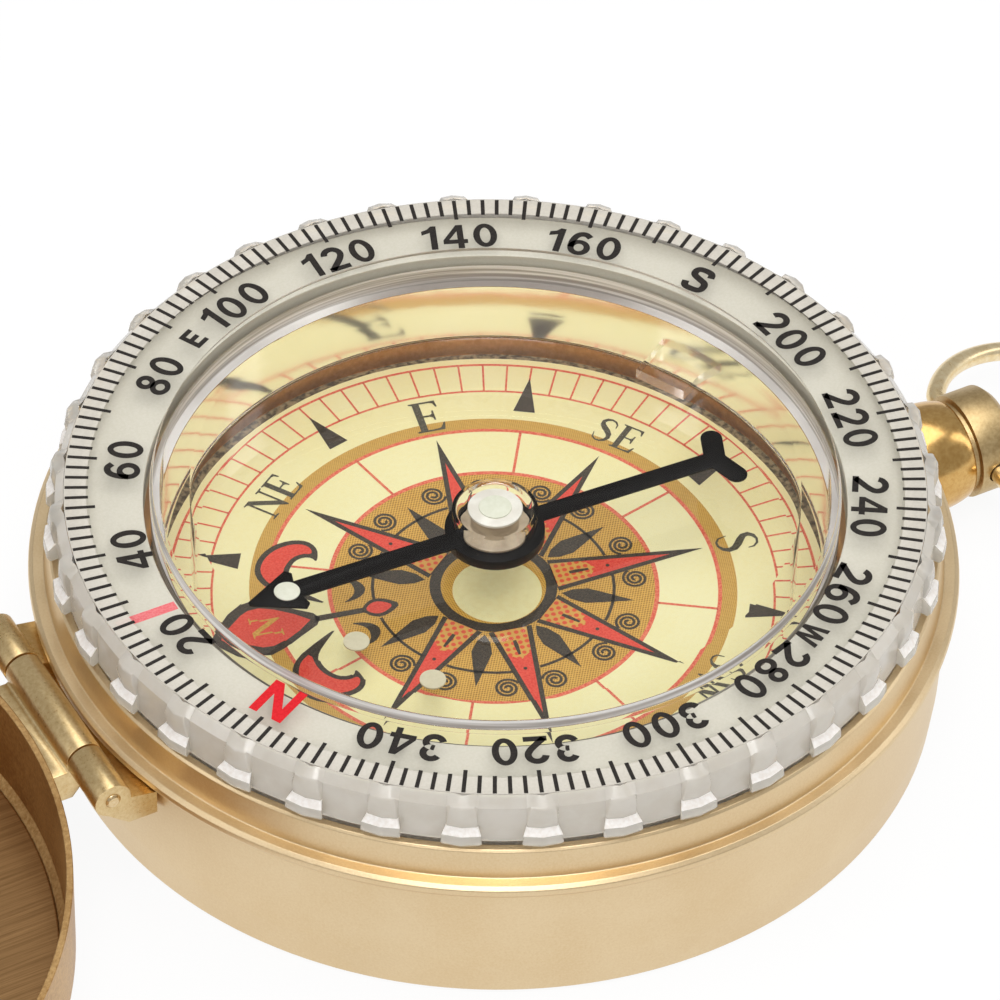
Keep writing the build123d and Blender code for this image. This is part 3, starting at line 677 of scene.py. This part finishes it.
# Clear bezel
# Window, flat rim and toothed grip moulded in one from clear acrylic, with a skirt in the case and a satin collar that is
# bonded round the capsule. Faces that meet fluid or capsule step little in index, so they show almost nothing.
def clear(name, index, tint, roughness=0.0, ripple=0.0, sheen=1.0):
    """Clear plastic with that step of index to its outside. Lamps and bounced light pass straight through it."""
    material, shader, start = finish(name, {
        "Base Color": tint, "Transmission Weight": 1.0, "IOR": index, "Roughness": roughness,
        "Specular Tint": (sheen, sheen, sheen, 1),
    })
    if ripple:
        at = start.node("TexCoord", out="Object")
        waves = start.node("TexNoise", {}, {"Vector": at, "Scale": 330.0, "Detail": 2.0})
        waves.raise_grain(shader, 1.0, ripple)
    rays = [start.node("LightPath", out=ray) for ray in ("Is Shadow Ray", "Is Diffuse Ray")]
    straight = start.node("BsdfTransparent", {}, {"Color": (0.98, 0.98, 0.97, 1)})
    bent = Shade(material.node_tree, shader.outputs[0])
    mixed = start.node("MixShader", {}, {0: rays[0].maths("MAXIMUM", *rays), 1: bent, 2: straight})
    mixed.feed(material.node_tree.nodes["Material Output"], "Surface")
    return material


acrylic_index, water_white, faint_straw = 1.49, (1.0, 1.0, 1.0, 1), (1.0, 1.0, 0.99, 1)
dry_clear = clear("clear_acrylic", acrylic_index, faint_straw)
wet_clear = clear("clear_acrylic_wet", 1.035, water_white)
bonded_clear = clear("clear_acrylic_bonded", 1.003, water_white)
window_clear = clear("clear_window", acrylic_index, faint_straw, sheen=0.3)

satin_finish, shader, start = finish("satin_acrylic", {"Transmission Weight": 0.05, "IOR": acrylic_index})
at = start.node("TexCoord", out="Object")
turned_lines = start.node("Mapping", {}, {"Vector": at, "Scale": (60, 60, 2600)})
rings = start.node("TexNoise", {}, {"Vector": turned_lines, "Scale": 1.0, "Detail": 3.0})
rings.between(0.36, 0.64).blend(srgb(164, 156, 152), srgb(254, 252, 252)).feed(shader, "Base Color")
(rings * 0.3 + 0.2).feed(shader, "Roughness")

grip_finish, shader, polish = mottled(
    "satin_grip", {"Transmission Weight": 0.6, "IOR": acrylic_index}, 900.0, srgb(246, 241, 230), srgb(254, 250, 242),
)
(polish * 0.12 + 0.08).feed(shader, "Roughness")
# Pale frosted acrylic for the skirt's inner wall. On the teeth's foot facets the same pale finish is a painted
# highlight.
frost_and_highlight_finish, _, _ = mottled(
    "acrylic_frost_and_painted_highlight", {"Transmission Weight": 0.1, "IOR": acrylic_index, "Roughness": 0.4}, 5000.0,
    srgb(236, 230, 224), srgb(250, 247, 244),
)

north = radians(207.6)
teeth = 36
tooth_columns = 180
window_top, rim_top, rim_low = 13.25, 12.72, 12.25
wall_radius, wall_foot = 21.75, 10.0
skirt_outer, skirt_inner, skirt_foot = 21.5, 20.95, 8.0
collar_outer, collar_inner, collar_foot, satin_top = 17.05, 16.6, 8.9, 10.8
window_edge, rim_edge = 16.95, 21.32
foot_high, foot_low = 11.1, 10.78
# Each row of a tooth: its height on the wall, then its own radius, height and breadth.
tooth_rows = (
    (rim_top, 21.4, 12.73, 0.5), (12.2, 22.02, 12.42, 0.75), (11.9, 22.1, 11.9, 0.9), (foot_high, 21.92, foot_high, 1.0),
    (foot_low, 22.32, foot_low, 1.25), (10.3, 22.34, 10.3, 1.3), (10.05, 22.2, 10.05, 1.2),
)
bezel_profile = rounded([
    (0, window_top), (window_edge, window_top, 0.04), (collar_outer, rim_top, 0.04), (rim_edge, rim_top, 0),
    *[(wall_radius, row[0], 0) for row in tooth_rows[1:]], (wall_radius, wall_foot, 0.04),
    (skirt_outer, wall_foot, 0.04), (skirt_outer, skirt_foot, 0.04), (skirt_inner, skirt_foot, 0.04),
    (skirt_inner, rim_low, 0.06), (collar_outer, rim_low, 0.06), (collar_outer, satin_top, 0),
    (collar_outer, collar_foot, 0.05), (collar_inner, collar_foot, 0), (collar_inner, rim_low, 0), (0, rim_low),
])
bezel = turned("bezel_window", bezel_profile, steps=tooth_columns)
bpy.ops.object.mode_set(mode="EDIT")
bpy.ops.mesh.select_all(action="DESELECT")
bpy.ops.object.mode_set(mode="OBJECT")
columns_each = tooth_columns // teeth
for face in bezel.data.polygons:
    x, y, z = face.center
    column = int(atan2(y, x) / (2 * pi) * tooth_columns + tooth_columns) % columns_each
    on_wall = hypot(x, y) > tooth_rows[0][1] * MM and tooth_rows[-1][0] * MM < z < tooth_rows[0][0] * MM
    face.select = on_wall and column in (0, columns_each - 1)
bpy.ops.object.mode_set(mode="EDIT")
bpy.ops.mesh.extrude_region_move()
bpy.ops.object.mode_set(mode="OBJECT")
tooth_crown = 0.06
for corner in bezel.data.vertices:
    if not corner.select:
        continue
    x, y, z = corner.co
    _, radius, height, spread = min(tooth_rows, key=lambda row: abs(row[0] * MM - z))
    angle = atan2(y, x)
    middle = round(angle * teeth / (2 * pi)) * 2 * pi / teeth
    angle = middle + (angle - middle) * spread
    crown = tooth_crown * (1 if abs(angle - middle) < radians(0.2) else -1)
    corner.co = ((radius + crown) * MM * cos(angle), (radius + crown) * MM * sin(angle), height * MM)
bpy.ops.object.mode_set(mode="EDIT")
bpy.ops.mesh.select_all(action="DESELECT")
bpy.ops.mesh.select_mode(type="EDGE")
bpy.ops.mesh.edges_select_sharp(sharpness=radians(40))
bpy.ops.object.mode_set(mode="OBJECT")
for edge in bezel.data.edges:
    ends = [bezel.data.vertices[corner].co for corner in edge.vertices]
    if min(hypot(end.x, end.y) for end in ends) < (wall_radius + 0.05) * MM:
        edge.select = False
tooth_ease = 0.12
bpy.ops.object.mode_set(mode="EDIT")
bpy.ops.mesh.bevel(offset=tooth_ease * MM, segments=3, clamp_overlap=True)
bpy.ops.mesh.select_mode(type="VERT")
bpy.ops.mesh.select_all(action="SELECT")
bpy.ops.mesh.remove_doubles(threshold=1e-7)
bpy.ops.mesh.normals_make_consistent(inside=False)
bpy.ops.object.mode_set(mode="OBJECT")
bezel.rotation_euler = (0, 0, north)
bpy.ops.object.transform_apply(rotation=True)
bpy.ops.object.shade_smooth_by_angle(angle=radians(32))
dress(bezel, dry_clear, wet_clear, bonded_clear, satin_finish, window_clear, grip_finish, frost_and_highlight_finish)
wet, bonded, satin, window, grip, frost_and_highlight_index = range(1, 7)
cup_bore = 15.1
for face, radius, height in placed_faces(bezel):
    by_collar = radius < collar_outer + 0.05
    if radius < collar_inner + 0.1 and height < window_top - 0.25:
        face.material_index = wet if radius < cup_bore else bonded
    elif by_collar and height < satin_top:
        face.material_index = satin
    elif height > window_top - 0.02:
        face.material_index = window
    elif by_collar and radius > collar_outer - 0.15 and height < rim_low - 0.05:
        face.material_index = bonded
    elif by_collar and height > rim_top + 0.02:
        face.material_index = satin
    # The upper facets of the teeth's feet are painted pale as a highlight: white bars where a lamp's glint would fall.
    elif radius > wall_radius + 0.05 and foot_low - 0.03 < height < foot_high + 0.05 and face.normal.z > 0.5:
        face.material_index = frost_and_highlight_index
    elif radius > skirt_outer and wall_foot < height < rim_top - 0.12:
        face.material_index = grip
    elif abs(radius - skirt_inner) < 0.02 and height < rim_low - 0.15:
        face.material_index = frost_and_highlight_index
    elif abs(height - rim_low) < 0.1 and radius < skirt_inner + 0.01:
        face.material_index = wet
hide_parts("bezel_crystal")
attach(bezel, "bezel")

# Bezel scale
# Degrees printed in black on the flat rim round the window, with a red north and a thin pale ground under the ticks.
scale_ink = ink("scale_black", srgb(26, 22, 20), srgb(40, 34, 30))
scale_red = ink("scale_red", srgb(208, 10, 24), srgb(220, 26, 38))
scale_turn = north - pi / 2


def on_rim(name, sheets, material, lift=0.01):
    """A film printed on the rim's top, that many millimetres above it."""
    printed(name, sheets, rim_top + lift, scale_turn, "bezel", material)


ground_ink = ink("scale_ground", srgb(222, 217, 206), srgb(228, 223, 213))
ground_ink.node_tree.nodes["Principled BSDF"].inputs["Alpha"].default_value = 0.6
on_rim("scale_ground", [band(20.2, 21.3)], ground_ink, 0.002)
tick_count, long_every = 180, 5
ticks = [turn(bar(0.1, 20.1 if step % long_every else 19.78, 21.25), 360 // tick_count * step) for step in range(tick_count)]
on_rim("scale_ticks", [ticks], scale_ink)


def oval(x, y, wide, high, start=0, end=360, steps=40):
    """Points round an ellipse from one angle to another, measured anticlockwise from the right."""
    angles = [radians(start + (end - start) * k / steps) for k in range(steps + (abs(end - start) != 360))]
    return [(x + wide * cos(angle), y + high * sin(angle)) for angle in angles]


def bent(path, rounds=3):
    """An open path with its corners cut, its ends kept."""
    for _ in range(rounds):
        path = [path[0], *trimmed(zip(path, path[1:])), path[-1]]
    return path


figure_stroke = 0.19
figures = {
    "0": (0.68, [[oval(0.34, 0.5, 0.34, 0.5), oval(0.34, 0.5, 0.15, 0.33)]]),
    "1": (0.46, [[
        [(0.46, 1.0), (0.31, 1.0), (0.2, 0.87), (0.03, 0.8), (0.03, 0.63), (0.27, 0.73), (0.27, 0), (0.46, 0)],
    ]]),
    "2": (0.66, [
        [stroke([
            *oval(0.33, 0.68, 0.235, 0.235, 172, -22, 24), *bent([(0.545, 0.585), (0.47, 0.45), (0.14, 0.12), (0.1, 0.07)]),
        ], figure_stroke)],
        [[(0.02, 0), (0.65, 0), (0.65, 0.175), (0.02, 0.175)]],
    ]),
    "3": (0.64, [
        [stroke(oval(0.31, 0.7, 0.21, 0.215, 158, -88, 30) + oval(0.31, 0.3, 0.23, 0.21, 88, -162, 30), figure_stroke)],
    ]),
    "4": (0.7, [[
        [(0.4, 1.0), (0.59, 1.0), (0.59, 0.38), (0.7, 0.38), (0.7, 0.21), (0.59, 0.21), (0.59, 0), (0.41, 0),
         (0.41, 0.21), (0, 0.21), (0, 0.37)],
        [(0.41, 0.38), (0.17, 0.38), (0.41, 0.74)],
    ]]),
    "6": (0.67, [
        [oval(0.34, 0.325, 0.325, 0.325), oval(0.34, 0.325, 0.14, 0.16)],
        [stroke(bent([(0.1, 0.3), (0.1, 0.6), (0.2, 0.86), (0.42, 0.94), (0.58, 0.8)]), figure_stroke)],
    ]),
    "8": (0.67, [
        [oval(0.335, 0.735, 0.28, 0.265), oval(0.335, 0.735, 0.1, 0.11)],
        [oval(0.335, 0.28, 0.325, 0.28), oval(0.335, 0.28, 0.14, 0.125)],
    ]),
    "E": (0.66, [[[
        (0, 0), (0.66, 0), (0.66, 0.2), (0.22, 0.2), (0.22, 0.4), (0.58, 0.4), (0.58, 0.6), (0.22, 0.6), (0.22, 0.8),
        (0.66, 0.8), (0.66, 1), (0, 1),
    ]]]),
    "S": (0.7, [[stroke(bent([
        (0.6, 0.72), (0.55, 0.9), (0.34, 0.93), (0.1, 0.88), (0.1, 0.62), (0.35, 0.53), (0.62, 0.45), (0.63, 0.12),
        (0.36, 0.07), (0.13, 0.08), (0.07, 0.28),
    ]), 0.2)]]),
    "W": (1.1, [[[
        (0, 1), (0.21, 1), (0.32, 0.36), (0.45, 1), (0.65, 1), (0.78, 0.36), (0.89, 1), (1.1, 1), (0.88, 0), (0.68, 0),
        (0.55, 0.62), (0.42, 0), (0.22, 0),
    ]]]),
    "N": (0.8, [[[
        (0, 0), (0.2, 0), (0.2, 0.64), (0.58, 0), (0.8, 0), (0.8, 1), (0.6, 1), (0.6, 0.36), (0.22, 1), (0, 1),
    ]]]),
}


def figure_sheets(text, size, radius, bearing, space=0.17):
    """The films of a printed figure of that height, centred at a radius with its top outwards."""
    width = (sum(figures[sign][0] for sign in text) + space * (len(text) - 1)) * size
    across, sheets = -width / 2, []
    for sign in text:
        wide, shapes = figures[sign]
        for shape in shapes:
            placed = [[(across + x * size, radius + (y - 0.5) * size) for x, y in loop] for loop in shape]
            sheets.append([turn(loop, bearing) for loop in placed])
        across += (wide + space) * size
    return sheets


scale_sheets = []
for bearing in range(20, 360, 20):
    if bearing != 180:
        scale_sheets += figure_sheets(str(bearing), 1.8, 18.45, bearing)
for letter, size, radius, bearing in (("E", 1.3, 18.4, 90), ("W", 1.3, 18.4, 270), ("S", 1.85, 18.45, 180)):
    scale_sheets += figure_sheets(letter, size, radius, bearing)
on_rim("scale_figures", scale_sheets, scale_ink)
on_rim("scale_north", figure_sheets("N", 2.3, 18.5, 0), scale_red)

# Capsule
# A clear cup bonded into the collar and filled with damping fluid, so that only its outside bends light much.
# A small plug closes the filling hole in its wall, and two luminous dots are set in its floor.
cup_radius, cup_top, cup_foot, pin_seat = 16.57, 12.23, 2.55, 2.75
cup_profile = rounded([
    (0, cup_foot), (cup_radius, cup_foot, 0.15), (cup_radius, collar_foot, 0), (cup_radius, cup_top, 0),
    (cup_bore, cup_top, 0), (cup_bore, 3.05, 0.3), (1.6, 3.05, 0.1), (0.7, 3.85, 0.1), (0.35, 3.85, 0),
    (0.35, pin_seat, 0), (0, pin_seat),
])
cup = turned("capsule", cup_profile, steps=240)
wall_clear = clear("clear_moulded_wall", acrylic_index, faint_straw, 0.1, 0.012)
dress(cup, dry_clear, wet_clear, bonded_clear, wall_clear)
moulded_wall = 3
for face, radius, height in placed_faces(cup):
    if height > collar_foot and radius > cup_bore + 0.1:
        face.material_index = bonded
    elif radius > cup_radius - 0.07 and height > pin_seat:
        face.material_index = moulded_wall
    elif radius < cup_bore + 0.1 and height > cup_foot + 0.1:
        face.material_index = bonded if radius > cup_bore - 0.1 else wet
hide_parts("capsule_cup")
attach(cup, "bezel")

plug_finish = clear("clear_plug", 1.08, (1.0, 0.99, 0.97, 1), 0.06)
dress(nodes["fill_plug"], plug_finish)

dull_lume, _, _ = mottled("dull_lume", {"Roughness": 0.6}, 4000.0, srgb(214, 208, 180), srgb(220, 214, 188))
dress(nodes["orienting_dots"], dull_lume)

# Pivot and needle
# A pointed steel pin in the cup's floor carries a jewel in a white post; the needle is a black strip with an arrow head
# and a forked tail. A hollow clear cap, full of air, stands over the post.
dress(nodes["pivot_pin"], steel_finish)
paint_finish, shader, start = finish("black_paint", {"Specular IOR Level": 0.1})
at = start.node("TexCoord", out="Object")
dust = start.node("TexNoise", {}, {"Vector": at, "Scale": 2600.0, "Detail": 5.0, "Roughness": 0.6})
dust.between(0.7, 0.78).blend(srgb(12, 10, 10), srgb(96, 90, 86)).feed(shader, "Base Color")
(dust * 0.25 + 0.25).feed(shader, "Roughness")
dust.raise_grain(shader, 0.06, 0.01)
softened("needle", "needle", "black_paint", 0.04, paint_finish)

pale_lume, _, _ = mottled("pale_lume", {"Roughness": 0.6}, 4000.0, srgb(222, 224, 208), srgb(228, 230, 216))
softened("needle_lume", "needle", "pale_lume", 0.04, pale_lume)
softened("hub_lume", "needle", "pale_lume", 0.04, pale_lume)

post_finish, _, _ = mottled("white_plastic", {"Roughness": 0.3}, 900.0, srgb(226, 222, 214), srgb(244, 242, 236))
# The post's shank under its head is a darker copy of the white plastic: painted shade under the head.
shank_painted_shade, _, _ = mottled(
    "plastic_painted_shade", {"Roughness": 0.4}, 1400.0, srgb(168, 150, 128), srgb(196, 180, 156), detail=4.0,
)
post = softened("bearing_post", "needle", "white_plastic", 0.06, post_finish, shank_painted_shade)
painted_shade_top = 8.98
# Faces below the head get the painted shade.
for face, _, height in placed_faces(post):
    if height < painted_shade_top:
        face.material_index = 1

jewel_finish, _, _ = mottled("jewel", {"Roughness": 0.1}, 1500.0, srgb(150, 40, 60), srgb(190, 70, 90), detail=2.0)
dress(nodes["jewel_bearing"], jewel_finish)

cap_profile = rounded([
    (1.95, 6.88, 0), (2.15, 6.88, 0), (2.15, 9.2, 0.3), (1.55, 9.8, 0.3), (0, 9.8), (0, 9.6), (1.45, 9.6, 0.3),
    (1.95, 9.15, 0.3),
])
cap = turned("hub_cap", cap_profile, steps=96)
cap_inside_clear = clear("clear_cap_inside", 1.08, water_white)
dress(cap, cap_inside_clear, wet_clear)
for face in cap.data.polygons:
    x, y, _ = face.center
    if face.normal.z > 0.05 or face.normal.x * x + face.normal.y * y > 0:
        face.material_index = 1
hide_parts("needle_cap")
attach(cap, "needle")

# The scene brought up to date
bpy.context.view_layer.update()
